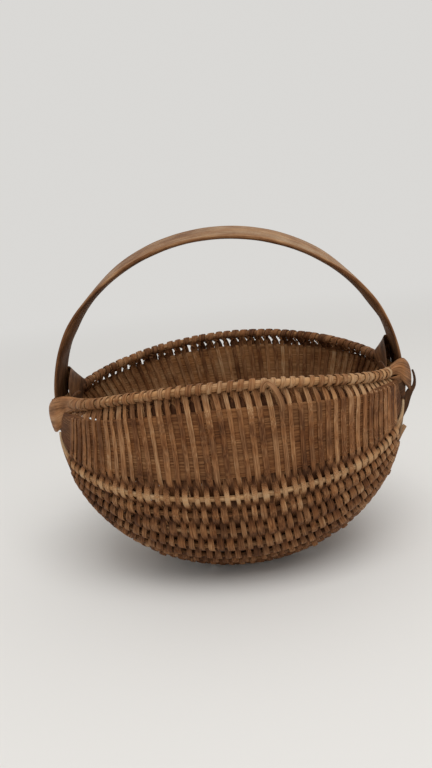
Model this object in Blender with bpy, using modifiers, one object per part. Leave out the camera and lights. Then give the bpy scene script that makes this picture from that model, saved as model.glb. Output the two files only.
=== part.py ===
"""Egg basket of split oak.

One flat hoop makes the handle over the top and the keel underneath. A round rim rod crosses inside it
and a folded splint lashes the two together at each ear. One wide flat rib and eight round ribs a side
run from ear to ear. The woven wall goes round them from rim to rim, in bands from ear to ear: one band for
each long splint and the rows that it weaves.

Metres, +Z up. The basket stands on the floor, z = 0, on two lobes with the keel drawn up between them.
+X runs from the left ear to the right ear, and the front is -Y.

A place on the bowl is given by two numbers. across is -1 under the front rim, 0 at the keel and +1
under the back rim. theta is 0 at the left ear, a right angle at the middle and pi at the right ear.
"""

import math

import bmesh
import bpy
import numpy as np

# The bowl's outline, through the middle of the ribs
HALF_SPAN = 0.1413
FRONT_DEPTH = 0.1065
BACK_DEPTH = 0.1360
BOWL_DEPTH = 0.1560
KEEL_LIFT = 0.0120
FRONT_LIFT_SPREAD = math.radians(13)
BACK_LIFT_SPREAD = math.radians(16.5)
OUTLINE_POWER = 2.4
END_POWER = 0.86
FRONT_RIM_POWER = 1.25
POINTED_TO_share = 0.40
FOOT_CUT = 0.0014

# The hoop: handle above the ears, keel below them
HANDLE_HEIGHT = 0.1240
HANDLE_POWER = 1.05
HANDLE_LEAN = math.radians(12)
LEAN_FROM = 0.0280
LEAN_EASE = 0.0120
HOOP_WIDTH = 0.0400
HANDLE_TOP_WIDTH = 0.0350
HOOP_THICKNESS = 0.0025

# The rim
RIM_RADIUS = 0.0030
RIM_RAISE = 0.0200

# The ribs
RIBS_A_SIDE = 8
RIB_RADIUS = 0.0020
RIB_TIP_RADIUS = 0.0009
FIRST_RIB_share = 0.4135
LAST_RIB_share = 0.8690
WIDE_RIB_TOP_share = 0.065
WIDE_RIB_BOTTOM_share = 0.337
WIDE_RIB_THICKNESS = 0.0015
TAPER_ENDS_share = 0.35
TIP_SPREAD = 0.0470
TIP_FAN = 0.0300
TIPS_BESIDE_HOOP_share = 0.40
TIP_LEVEL_share = 0.41
TIP_CLEARANCE = 0.0006
TIP_START_share = 0.006

# The woven wall
WALL = 0.0010
WALL_START_AT_RIM = 0.0260
WALL_START_AT_KEEL = 0.0500
WIDE_RIB_START = 0.0230
WALL_DIP = 0.0016
RIB_CREST_share = 0.20
WEAVERS = 11
WEAVER_GAP = 0.0004
WINDOW_WIDTH = 0.0080
WINDOW_SILL_share = 0.9

# The lashings at the ears
LASH_WIDTH = 0.0130
LASH_THICKNESS = 0.0010
LASH_SLOPE = 0.6
LASH_POWER = 0.35
LASH_SLACK = 0.0013
LASH_CROSSING = 0.0004

GAP = 0.0003
BAND_STEPS = 2
EAR_STATIONS = 5
BOARD_LINES = 4
HANDLE_STATIONS = 32
RIM_STATIONS = 32
LASH_STATIONS = 24
STEP = 1e-4

STATIONS = WEAVERS * BAND_STEPS + 1
RIB_SPACING_share = (LAST_RIB_share - FIRST_RIB_share) / (RIBS_A_SIDE - 1)
KEEL_RADIUS = BOWL_DEPTH - KEEL_LIFT
KEEL_EDGE_share = 1 - math.atan(HOOP_WIDTH / 2 / KEEL_RADIUS) / (math.pi / 2)
TIP_SIDE = HOOP_WIDTH / 2 + RIB_TIP_RADIUS + TIP_CLEARANCE
WALL_OUTSIDE = RIB_RADIUS + GAP + WALL
RIM_HALF_SPAN = HALF_SPAN - HOOP_THICKNESS / 2 - GAP - RIM_RADIUS
EAR_Y = (FRONT_DEPTH - BACK_DEPTH) / 2

COLOURS = {
    "hoop": (0.20, 0.105, 0.050),
    "rim": (0.24, 0.125, 0.055),
    "rib": (0.25, 0.130, 0.058),
    "wide_rib": (0.22, 0.105, 0.042),
    "lashing": (0.23, 0.105, 0.042),
    "weave": (0.17, 0.082, 0.035),
}


def end_power(across):
    """The power that shapes the bowl's ends: blunt all round, but pointed near the front rim."""
    near_rim = np.clip(1 - (1 - np.abs(across)) / POINTED_TO_share, 0, 1) * (across < 0)
    return END_POWER + (FRONT_RIM_POWER - END_POWER) * near_rim


def taper(across, theta):
    """How far the bowl has opened at theta: 0 at an ear and 1 in the middle, as a power of the sine."""
    return np.sin(theta) ** end_power(across)


def opened_at(across, opening):
    """The theta at which the bowl has opened this far."""
    return np.arcsin(opening ** (1 / end_power(across)))


def outline_radius(angle, depth, lift_spread):
    """Ear axis to the bowl, at an angle below level: a superellipse, less a hump at the keel.

    The hump is wider behind the keel, where the bowl is deeper, so that both lobes meet the floor.
    """
    side = (np.abs(np.cos(angle)) / depth) ** OUTLINE_POWER
    down = (np.abs(np.sin(angle)) / BOWL_DEPTH) ** OUTLINE_POWER
    hump = np.exp(-(((angle - math.pi / 2) / lift_spread) ** 2))
    return (side + down) ** (-1 / OUTLINE_POWER) - KEEL_LIFT * hump


def under_rim(opened, depth):
    """The angle at which the woven wall begins, just below the rim rod's underside."""
    rim_angle = -np.arctan(RIM_RAISE * opened / depth)
    return rim_angle + (RIM_RADIUS + 2 * GAP) / (depth * opened)


def down_the_hoop(share):
    """0 under the rim and 1 at the keel's edge and beyond."""
    return np.minimum(share / KEEL_EDGE_share, 1)


def beside_hoop(share):
    """0 under the rim, which crosses inside the hoop, and 1 for the round ribs beside it."""
    return np.clip(down_the_hoop(share) / TIPS_BESIDE_HOOP_share, 0, 1)


def tips_begin(share):
    """How far the bowl has opened where a rib's tip lies: 0 under the rim, more towards the keel."""
    level = TIP_LEVEL_share + (1 - TIP_LEVEL_share) * down_the_hoop(share)
    return TIP_SPREAD / KEEL_RADIUS * level * beside_hoop(share)


def past_tip(across, theta):
    """The way from a rib's tip, 0, to its middle, 1."""
    begins = tips_begin(1 - np.abs(across))
    return (taper(across, theta) - begins) / (1 - begins)


def bowl_surface(across, theta):
    """The surface through the ribs' middles, measured from the middle of the ear axis.

    The tips fan round the ear on an arc that ends beside the hoop's edge. Each rib goes from its tip
    to its place on the outline of the middle.
    """
    across, theta = np.broadcast_arrays(across, theta)
    share = 1 - np.abs(across)
    side = np.where(across < 0, -1, 1)
    depth = np.where(across < 0, FRONT_DEPTH, BACK_DEPTH)
    lift_spread = np.where(across < 0, FRONT_LIFT_SPREAD, BACK_LIFT_SPREAD)
    start = under_rim(taper(across, theta), depth)
    angle = start + share * (math.pi / 2 - start)
    radius = outline_radius(angle, depth, lift_spread)
    fan = TIP_SIDE + (TIP_FAN - TIP_SIDE) * np.sqrt(1 - down_the_hoop(share) ** 2)
    under_keel = np.clip((1 - share) / (1 - KEEL_EDGE_share), 0, 1)
    way = past_tip(across, theta)
    y = fan * beside_hoop(share) * under_keel * (1 - way) + radius * np.cos(angle) * way
    z = -TIP_SPREAD * down_the_hoop(share) * (1 - way) - radius * np.sin(angle) * way
    return np.stack([-HALF_SPAN * np.cos(theta), side * y, z], axis=-1)


def lowest_reach():
    """How far below the ear axis the ribs' middles would reach in the bowl's middle section."""
    across = np.linspace(-1, 1, 401)
    return -bowl_surface(across, np.full_like(across, math.pi / 2))[:, 2].min()


FOOT_DROP = lowest_reach() + WALL_OUTSIDE - FOOT_CUT
EAR_CENTRE = np.array([0, EAR_Y, FOOT_DROP])


def on_bowl(across, theta, proud):
    """A place this far proud of the bowl's surface, along its normal, held up off the floor."""
    along = bowl_surface(across, theta + STEP) - bowl_surface(across, theta - STEP)
    round_it = bowl_surface(across + STEP, theta) - bowl_surface(across - STEP, theta)
    normal = np.cross(round_it, along)
    normal /= np.linalg.norm(normal, axis=-1, keepdims=True)
    proud = np.asarray(proud, dtype=float)
    place = bowl_surface(across, theta) + normal * proud[..., None]
    lowest = WALL_OUTSIDE - proud - FOOT_DROP
    place[..., 2] = np.maximum(place[..., 2], lowest)
    return place + EAR_CENTRE


def wall_stations(across):
    """A row of thetas for each across, shared by the wall and the ribs so that their facets lie together.

    The wall starts a little way from the ear, sooner under the rim than beside the hoop.
    """
    across = np.asarray(across, dtype=float)
    at_rim = WALL_START_AT_RIM / FRONT_DEPTH
    at_keel = WALL_START_AT_KEEL / KEEL_RADIUS
    opening = at_rim + (at_keel - at_rim) * beside_hoop(1 - np.abs(across))
    first = opened_at(across, opening)[..., None]
    return first + (math.pi - 2 * first) * np.linspace(0, 1, STATIONS)


def with_ends(theta, tip):
    """The same thetas with one more beyond each end."""
    tip = np.broadcast_to(tip, theta.shape[:-1])[..., None]
    return np.concatenate([tip, theta, math.pi - tip], axis=-1)


def rib_stations(across):
    begins = tips_begin(1 - abs(across))
    tip = opened_at(across, begins + TIP_START_share * (1 - begins))
    return with_ends(wall_stations(across), tip)


def grown(across, theta):
    """0 at a rib's tip and 1 where it has its full girth and the wall its full waves."""
    return np.clip(past_tip(across, theta) / TAPER_ENDS_share, 0, 1)


def rib_radius(across, theta):
    """Ribs are whittled thinner towards the ears, in step with the room between them."""
    return RIB_TIP_RADIUS + (RIB_RADIUS - RIB_TIP_RADIUS) * grown(across, theta)


def oak(name, colour_name, roughness=0.6):
    material = bpy.data.materials.new(name + "_oak")
    material.use_nodes = True
    shader = material.node_tree.nodes["Principled BSDF"]
    shader.inputs["Base Color"].default_value = (*COLOURS[colour_name], 1)
    shader.inputs["Roughness"].default_value = roughness
    shader.inputs["Metallic"].default_value = 0
    material.diffuse_color = (*COLOURS[colour_name], 1)
    return material


def add(name, data, colour_name, collection):
    obj = bpy.data.objects.new(name, data)
    obj.data.materials.append(oak(name, colour_name))
    collection.objects.link(obj)
    return obj


def sheet(name, across, theta, proud, thickness, offset, colour_name, collection):
    """A grid bent onto the bowl, then given its thickness. theta and proud have a row for each across."""
    grid = bmesh.new()
    bmesh.ops.create_grid(grid, x_segments=len(across) - 1, y_segments=theta.shape[1] - 1, size=0.5)
    flat = np.array([corner.co for corner in grid.verts]) + 0.5
    column = np.rint(flat[:, 0] * (len(across) - 1)).astype(int)
    row = np.rint(flat[:, 1] * (theta.shape[1] - 1)).astype(int)
    places = on_bowl(across[column], theta[column, row], proud[column, row])
    for corner, place in zip(grid.verts, places):
        corner.co = place
    mesh = bpy.data.meshes.new(name)
    grid.to_mesh(mesh)
    grid.free()
    mesh.shade_smooth()
    obj = add(name, mesh, colour_name, collection)
    solidify = obj.modifiers.new("Thickness", "SOLIDIFY")
    solidify.thickness = thickness
    solidify.offset = offset
    solidify.use_even_offset = True
    return obj


def band(name, places, thickness, colour_name, collection):
    """A closed band: places has a row for each of its two edges, run round once, then its thickness."""
    count = places.shape[1]
    tube = bmesh.new()
    bmesh.ops.create_cone(tube, cap_ends=False, segments=count, radius1=1, radius2=1, depth=1)
    for corner in tube.verts:
        turn = math.atan2(corner.co.y, corner.co.x) / (2 * math.pi)
        corner.co = places[int(corner.co.z > 0), round(turn * count) % count]
    bmesh.ops.recalc_face_normals(tube, faces=tube.faces)
    mesh = bpy.data.meshes.new(name)
    tube.to_mesh(mesh)
    tube.free()
    mesh.shade_smooth()
    obj = add(name, mesh, colour_name, collection)
    solidify = obj.modifiers.new("Thickness", "SOLIDIFY")
    solidify.thickness = thickness
    solidify.offset = 0
    solidify.use_even_offset = True
    return obj


def rod(name, places, radii, cyclic, colour_name, collection):
    """A round rod through the places, each with its own radius."""
    curve = bpy.data.curves.new(name, "CURVE")
    curve.dimensions = "3D"
    curve.bevel_depth = 1
    curve.bevel_resolution = 2 if cyclic else 1
    curve.use_fill_caps = not cyclic
    curve.twist_mode = "Z_UP" if cyclic else "MINIMUM"
    line = curve.splines.new("POLY")
    line.points.add(len(places) - 1)
    line.use_cyclic_u = cyclic
    for point, place, radius in zip(line.points, places, radii):
        point.co = (*place, 1)
        point.radius = radius
    return add(name, curve, colour_name, collection)


def make_hoop(collection):
    """Handle and keel in one flat band. The handle leans forward and narrows towards its top."""
    upper = np.linspace(0, math.pi, HANDLE_STATIONS)
    beside_wall = wall_stations(0.0)
    near_ear = beside_wall[0] * np.arange(1, EAR_STATIONS) / EAR_STATIONS
    lower = np.concatenate([near_ear, beside_wall, math.pi - np.flip(near_ear)])
    turn = np.concatenate([upper, math.pi + lower])
    above = HANDLE_HEIGHT * np.abs(np.sin(turn)) ** HANDLE_POWER
    below = -KEEL_RADIUS * np.abs(np.sin(turn)) ** END_POWER
    height = np.where(turn <= math.pi, above, below)
    rise = height - LEAN_FROM
    eased = np.hypot(rise, LEAN_EASE)
    forward = math.tan(HANDLE_LEAN) * (rise + eased) / 2
    lean = np.arctan(math.tan(HANDLE_LEAN) * (1 + rise / eased) / 2)
    narrowing = (HOOP_WIDTH - HANDLE_TOP_WIDTH) * np.maximum(height, 0) / HANDLE_HEIGHT
    half_width = (HOOP_WIDTH - narrowing) / 2
    edges = []
    for reach in (half_width, -half_width):
        y = reach * np.cos(lean) - forward
        z = reach * np.sin(lean) + height
        edges.append(np.stack([HALF_SPAN * np.cos(turn), y, z], axis=-1) + EAR_CENTRE)
    return band("handle_hoop", np.array(edges), HOOP_THICKNESS, "hoop", collection)


def make_rim(collection):
    """A closed saddle-shaped rod, just inside the hoop at the ears and raised front and back."""
    turn = np.linspace(0, 2 * math.pi, 2 * RIM_STATIONS, endpoint=False)
    across = np.where(turn <= math.pi, -1.0, 1.0)
    depth = np.where(turn <= math.pi, FRONT_DEPTH, BACK_DEPTH)
    opened = np.abs(np.sin(turn)) ** end_power(across)
    x = -RIM_HALF_SPAN * np.cos(turn)
    places = np.stack([x, across * depth * opened, RIM_RAISE * opened**2], axis=-1)
    radii = np.full(len(turn), RIM_RADIUS)
    return rod("rim_hoop", places + EAR_CENTRE, radii, True, "rim", collection)


def make_wide_rib(name, side, collection):
    """The flat board under the rim, wide in the middle and narrow at the ears."""
    share = np.linspace(WIDE_RIB_TOP_share, WIDE_RIB_BOTTOM_share, BOARD_LINES)
    if side > 0:
        share = np.flip(share)
    across = side * (1 - share)
    theta = with_ends(wall_stations(across), opened_at(across, WIDE_RIB_START / FRONT_DEPTH))
    proud = np.zeros(theta.shape)
    return sheet(name, across, theta, proud, WIDE_RIB_THICKNESS, 0, "wide_rib", collection)


def make_rib(name, side, index, collection):
    across = side * (1 - FIRST_RIB_share - index * RIB_SPACING_share)
    theta = rib_stations(across)
    places = on_bowl(np.full_like(theta, across), theta, np.zeros_like(theta))
    return rod(name, places, rib_radius(across, theta), False, "rib", collection)


def wall_lines():
    """Shares from rim to keel at which the wall bends, in rows of four numbers.

    A row is the share, the room under the wall, how many rib radii it also rides over, and its dip.
    The wall lies flat on the wide rib and the keel, rides over each round rib and dips between ribs.
    The first two rows edge the windows under the rim.
    """
    over_board = WIDE_RIB_THICKNESS / 2 + GAP
    over_keel = HOOP_THICKNESS / 2 + GAP
    board = np.linspace(WIDE_RIB_TOP_share, WIDE_RIB_BOTTOM_share, BOARD_LINES)
    lines = [(share, over_board, 0, 0) for share in (0, WINDOW_SILL_share * board[0], *board)]
    crest = RIB_CREST_share * RIB_SPACING_share
    for index in range(RIBS_A_SIDE):
        middle = FIRST_RIB_share + index * RIB_SPACING_share
        if index > 0:
            lines.append((middle - RIB_SPACING_share / 2, GAP, 1, WALL_DIP))
        lines.append((middle - crest, GAP, 1, 0))
        lines.append((middle + crest, GAP, 1, 0))
    lines += [(KEEL_EDGE_share, over_keel, 0, 0), (1, over_keel, 0, 0)]
    return np.array(lines)


def surface_speed(across, theta):
    """Metres along the bowl for each radian of theta."""
    step = bowl_surface(across, theta + STEP) - bowl_surface(across, theta - STEP)
    return np.linalg.norm(step, axis=-1) / (2 * STEP)


def make_weaver(name, index, collection):
    """One splint's band of the weave: a thin shell that goes under the bowl from rim to rim.

    Between the rim and the wide rib it is narrower, which leaves windows between the bands.
    """
    front = wall_lines()
    lines = np.concatenate([front, np.flip(front[:-1], axis=0)])
    across = np.concatenate([front[:, 0] - 1, np.flip(1 - front[:-1, 0])])
    stations = slice(index * BAND_STEPS, (index + 1) * BAND_STEPS + 1)
    theta = wall_stations(across)[:, stations]
    window = (1 - np.abs(across) < WIDE_RIB_TOP_share)[:, None]
    space = np.where(window, WINDOW_WIDTH, WEAVER_GAP)
    drawn_in = space / 2 / surface_speed(across[:, None], theta)
    theta[:, 0] += drawn_in[:, 0]
    theta[:, -1] -= drawn_in[:, -1]
    radius = rib_radius(across[:, None], theta)
    room, rides, dip = lines.T[1:, :, None]
    proud = room + rides * radius - dip * grown(across[:, None], theta) + WALL
    return sheet(name, across, theta, proud, WALL, -1, "weave", collection)


def lashing_turn(name, side, slope, slack, collection):
    """One diagonal turn round the hoop and the rim: a rounded box seen from above, sheared to a slope."""
    turn = np.arange(LASH_STATIONS) / LASH_STATIONS * 2 * math.pi
    rim_leaves = math.cos(opened_at(-1.0, HOOP_WIDTH / 2 / FRONT_DEPTH))
    rim_inside = RIM_HALF_SPAN * rim_leaves - RIM_RADIUS
    hoop_outside = HALF_SPAN + HOOP_THICKNESS / 2
    middle = (rim_inside + hoop_outside) / 2 - LASH_SLACK / 4
    half_x = (hoop_outside - rim_inside) / 2 + slack + LASH_THICKNESS / 2
    half_y = HOOP_WIDTH / 2 + LASH_SLACK + slack + LASH_THICKNESS / 2
    x = half_x * np.sign(np.cos(turn)) * np.abs(np.cos(turn)) ** LASH_POWER + middle
    y = half_y * np.sign(np.sin(turn)) * np.abs(np.sin(turn)) ** LASH_POWER
    edges = []
    for z in (-LASH_WIDTH / 2, LASH_WIDTH / 2):
        edges.append(np.stack([side * x, side * y, slope * y + z], axis=-1) + EAR_CENTRE)
    return band(name, np.array(edges), LASH_THICKNESS, "lashing", collection)


def make_lashing(name, side, collection, helpers):
    """Two turns of one folded splint that cross on the face of the ear, joined where they cross."""
    lashing = lashing_turn(name, side, LASH_SLOPE, LASH_SLACK, collection)
    crossing = LASH_SLACK + LASH_CROSSING
    second = lashing_turn(name + "_second_turn", side, -LASH_SLOPE, crossing, helpers)
    second.hide_render = True
    second.display_type = "WIRE"
    union = lashing.modifiers.new("Second turn", "BOOLEAN")
    union.operation = "UNION"
    union.solver = "EXACT"
    union.object = second
    return lashing


def main():
    for obj in list(bpy.data.objects):
        bpy.data.objects.remove(obj, do_unlink=True)
    basket = bpy.data.collections.new("egg_basket")
    helpers = bpy.data.collections.new("egg_basket_helpers")
    bpy.context.scene.collection.children.link(basket)
    bpy.context.scene.collection.children.link(helpers)

    make_hoop(basket)
    make_rim(basket)
    for side, end in ((-1, "left"), (1, "right")):
        make_lashing(f"ear_lashing_{end}", side, basket, helpers)
    for side, face in ((-1, "front"), (1, "back")):
        make_wide_rib(f"wide_rib_{face}", side, basket)
        for index in range(RIBS_A_SIDE):
            make_rib(f"rib_{face}_{index + 1}", side, index, basket)
    for index in range(WEAVERS):
        make_weaver(f"weaver_{index + 1}", index, basket)


main()
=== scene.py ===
"""Looks of a split-oak egg basket: every rib, splint and lashing as its own worked surface.

Metres, in the frame of the construction: +X to the right ear, -Y to the front, +Z up.
A place on the bowl is across (-1 front rim, 0 keel, +1 back rim) and theta (0 left ear to pi right ear).
"""
import math

import bpy
import numpy as np
from mathutils import Euler, Matrix, Vector


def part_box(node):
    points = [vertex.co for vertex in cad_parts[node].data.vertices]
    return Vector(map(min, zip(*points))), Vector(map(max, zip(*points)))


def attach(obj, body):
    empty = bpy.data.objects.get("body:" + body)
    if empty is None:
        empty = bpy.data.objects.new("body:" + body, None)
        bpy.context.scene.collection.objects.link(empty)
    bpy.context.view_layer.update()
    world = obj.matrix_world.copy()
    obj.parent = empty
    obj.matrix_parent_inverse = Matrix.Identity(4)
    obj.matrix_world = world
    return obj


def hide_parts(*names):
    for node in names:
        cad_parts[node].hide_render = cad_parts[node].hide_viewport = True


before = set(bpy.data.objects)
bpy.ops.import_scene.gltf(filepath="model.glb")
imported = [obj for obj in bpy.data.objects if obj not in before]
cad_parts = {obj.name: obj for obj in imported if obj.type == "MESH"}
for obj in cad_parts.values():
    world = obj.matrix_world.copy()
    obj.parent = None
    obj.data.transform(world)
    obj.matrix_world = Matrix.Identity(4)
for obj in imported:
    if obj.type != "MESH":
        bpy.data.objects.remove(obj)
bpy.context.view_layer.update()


# The hoop: one flat band split from oak, shaved smooth and bent round while green. It is the handle
# over the top, leaning forward and narrowing, and the keel under the bowl. Its outer face is a paler
# grey-tan, most at the right, partly from handling and partly as a painted highlight, and its inner face is
# a dark brown with a little painted shade.
HALF_SPAN = 0.1413
HANDLE_HEIGHT = 0.1240
HANDLE_POWER = 1.05
HANDLE_LEAN = math.radians(12)
LEAN_FROM = 0.0280
LEAN_EASE = 0.0120
TILT_FROM = 0.0600
TILT_FULL = 0.1050
HOOP_WIDTH = 0.0400
HANDLE_TOP_WIDTH = 0.0350
HOOP_THICKNESS = 0.0025
KEEL_RADIUS = 0.1440
END_POWER = 0.86
HOOP_STATIONS = 520
HOOP_EDGE_POINTS = 7
HOOP_FACE_POINTS = 14
SHAVED_NARROWER = 0.012
SHAVED_THINNER = 0.10
HANDLE_CROWN = 0.0005
HANDLE_BELLY = 0.0032
BELLY_FROM = 0.0250
BELLY_FULL = 0.0600
DARK_EDGE_SHARE = 1 / 12
HANDLED_AND_LIT = 0.66
HANDLED_AND_LIT_MORE_AT_RIGHT = 0.36
STREAK_LENGTH = 0.030
FIBRE_LENGTH = 0.006
PATCH_LENGTH = 0.060
PATCH_WIDTH = 0.012
BLOTCHES_A_METRE = 45.0
GRAIN_LIFT = 0.00012
OAK_SHEEN = 0.12
COLOUR_STOPS = (0.08, 0.38, 0.66, 0.98)
WARM_TINT = (1.0, 0.88, 0.74, 1)
NEW_WOOD = (0.45, 0.33, 0.20, 1)
ear_low, ear_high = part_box("ear_lashing_right")
EAR_CENTRE = np.array([0, (ear_low.y + ear_high.y) / 2, (ear_low.z + ear_high.z) / 2])


def unit(vectors):
    """Each vector over its own length."""
    return vectors / np.linalg.norm(vectors, axis=-1, keepdims=True)


def smooth_step(way):
    """From 0 to 1 with level ends: 3 way^2 - 2 way^3, with way held between 0 and 1."""
    way = np.clip(way, 0, 1)
    return way * way * (3 - 2 * way)


def running(line):
    """The running length at each point of a line, from 0."""
    return np.concatenate([[0], np.cumsum(np.linalg.norm(np.diff(line, axis=0), axis=1))])


def evenly(rows, count):
    """Rows round a closed line at equal steps of its length. Each row begins with its place."""
    line = np.concatenate([rows, rows[:1]])
    run = running(line[:, :3])
    wanted = np.linspace(0, run[-1], count, endpoint=False)
    return np.stack([np.interp(wanted, run, column) for column in line.T], axis=-1)


def heading(places, loop=False):
    """The direction of travel: half the step from the station before to the one after."""
    if loop:
        return unit(np.roll(places, -1, axis=0) - np.roll(places, 1, axis=0))
    return unit(np.gradient(places, axis=0))


def wobble(run, seed, longest, count=5):
    """A slow waver between about -1 and 1: sines of longest, longest/2, ... with seeded phases."""
    phases = np.random.default_rng(seed).uniform(0, 2 * math.pi, count)
    waves = [np.sin(2 * math.pi * run * (i + 1) / longest + phases[i]) / (i + 1) for i in range(count)]
    return np.sum(waves, axis=0) / 1.6


def carried(places, normals, profile, loop=False):
    """A profile carried along a line: place + across * (travel x normal) + out * normal.

    profile is (stations or 1, points, 2), each point given as across and out. The normal is first
    made square to the travel.
    """
    travel = heading(places, loop)
    normals = unit(normals - travel * np.sum(normals * travel, axis=-1, keepdims=True))
    sideways = np.cross(travel, normals)
    across, out = profile[..., 0, None], profile[..., 1, None]
    return places[:, None] + across * sideways[:, None] + out * normals[:, None]


def slab(half_width, half_thickness, edge_points=4, flat_points=2, crown=0.0):
    """A strip's section: broad faces and half-round edges, run round once as (across, out) pairs.

    Each edge is a half circle, as deep as the strip is thick. Each face is a straight run, raised
    on both faces by crown times 1 - way^2, where way goes from 1 at one edge to -1 at the other.
    """
    sizes = half_width, half_thickness, crown
    half_width, half_thickness, crown = (np.atleast_1d(size)[:, None] for size in sizes)
    straight = half_width - half_thickness
    turn = np.linspace(-math.pi / 2, math.pi / 2, edge_points)
    round_edge = half_thickness * np.sin(turn) + 0 * straight
    right = np.stack([straight + half_thickness * np.cos(turn), round_edge], axis=-1)
    way = np.linspace(1, -1, flat_points + 2)[1:-1]
    arched = crown * (1 - way**2) + 0 * straight
    top = np.stack([straight * way, half_thickness + arched], axis=-1)
    bottom = np.stack([-straight * way, arched - half_thickness], axis=-1)
    return np.concatenate([right, top, -right, bottom], axis=1)


def skin(rings, loop=False, tone=0.0, worn=0.0, shaded=0.0, pale=0.0):
    """A closed surface over rings of points, one ring at each station along the piece.

    Point j of ring i joins point j + 1 and ring i + 1 by a four-sided face, the last point of a ring
    joins its first, and one flat face closes each end unless the piece is a loop. "grain" holds
    metres along and metres round. Where the volume, the sum of a . (b x c) / 6, comes out negative,
    every face is turned over. A mark is one value, one a station, or a grid of one a point.
    """
    stations, sides = rings.shape[:2]
    i, j = np.meshgrid(np.arange(stations if loop else stations - 1), np.arange(sides), indexing="ij")
    corner_i = np.stack([i, i + 1, i + 1, i], axis=-1).reshape(-1, 4)
    corner_j = np.stack([j, j, j + 1, j + 1], axis=-1).reshape(-1, 4)
    middles = rings.mean(axis=1)
    along = running(np.concatenate([middles, middles[:1]]))
    round_it = np.linalg.norm(np.roll(rings, -1, axis=1) - rings, axis=-1).mean(axis=0)
    around = np.concatenate([[0], np.cumsum(round_it)])
    grain = np.stack([along[corner_i], around[corner_j]], axis=-1).reshape(-1, 2)
    corners = (corner_i % stations) * sides + corner_j % sides
    sizes = np.full(len(corners), 4)
    corners = corners.ravel()
    if not loop:
        ring = np.arange(sides)
        ends = np.concatenate([ring, (stations - 1) * sides + ring[::-1]])
        at_end = np.repeat([along[0], along[stations - 1]], sides)
        grain = np.concatenate([grain, np.stack([at_end, np.tile(around[:-1], 2)], axis=-1)])
        corners = np.concatenate([corners, ends])
        sizes = np.concatenate([sizes, [sides, sides]])
    points = rings.reshape(-1, 3)
    starts = np.concatenate([[0], np.cumsum(sizes)[:-1]])
    first = np.repeat(points[corners[starts]], sizes, axis=0)
    after = np.arange(len(corners)) + 1
    after[np.cumsum(sizes) - 1] = starts
    volume = np.sum(first * np.cross(points[corners], points[corners[after]])) / 6
    if volume < 0:
        back = np.repeat(starts + starts + sizes - 1, sizes) - np.arange(len(corners))
        corners, grain = corners[back], grain[back]
    marks = {"tone": tone, "worn": worn, "shaded": shaded, "pale": pale}
    for mark, value in marks.items():
        value = np.asarray(value, float)
        value = value[:, None] if value.ndim == 1 else value
        marks[mark] = np.broadcast_to(value, (stations, sides)).ravel()
    return points, corners, sizes, grain, marks


def piece(name, skins, finish):
    """One object of one or more skins, smooth shaded, with its grain map and its marks."""
    offsets = np.cumsum([0] + [len(one[0]) for one in skins[:-1]])
    points = np.concatenate([one[0] for one in skins])
    corners = np.concatenate([one[1] + offset for one, offset in zip(skins, offsets)])
    sizes = np.concatenate([one[2] for one in skins])
    mesh = bpy.data.meshes.new(name)
    mesh.vertices.add(len(points))
    mesh.vertices.foreach_set("co", points.astype(np.float32).ravel())
    mesh.loops.add(len(corners))
    mesh.loops.foreach_set("vertex_index", corners.astype(np.int32))
    mesh.polygons.add(len(sizes))
    mesh.polygons.foreach_set("loop_start", (np.cumsum(sizes) - sizes).astype(np.int32))
    mesh.update(calc_edges=True)
    grain = np.concatenate([one[3] for one in skins]).astype(np.float32)
    mesh.uv_layers.new(name="grain").data.foreach_set("uv", grain.ravel())
    for mark in skins[0][4]:
        values = np.concatenate([one[4][mark] for one in skins]).astype(np.float32)
        mesh.attributes.new(mark, "FLOAT", "POINT").data.foreach_set("value", values)
    mesh.shade_smooth()
    mesh.materials.append(finish)
    obj = bpy.data.objects.new(name, mesh)
    bpy.context.scene.collection.objects.link(obj)
    return obj


def wire(tree, node, inputs):
    """Each of these inputs of a shader node is linked to a socket, or takes a value of its own."""
    for name, value in inputs.items():
        if isinstance(value, bpy.types.NodeSocket):
            tree.links.new(value, node.inputs[name])
        else:
            node.inputs[name].default_value = value


def add_node(tree, kind, inputs=None, operation=None):
    """A new shader node with its inputs wired."""
    node = tree.nodes.new("ShaderNode" + kind)
    if operation:
        node.operation = operation
    wire(tree, node, inputs or {})
    return node


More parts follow.
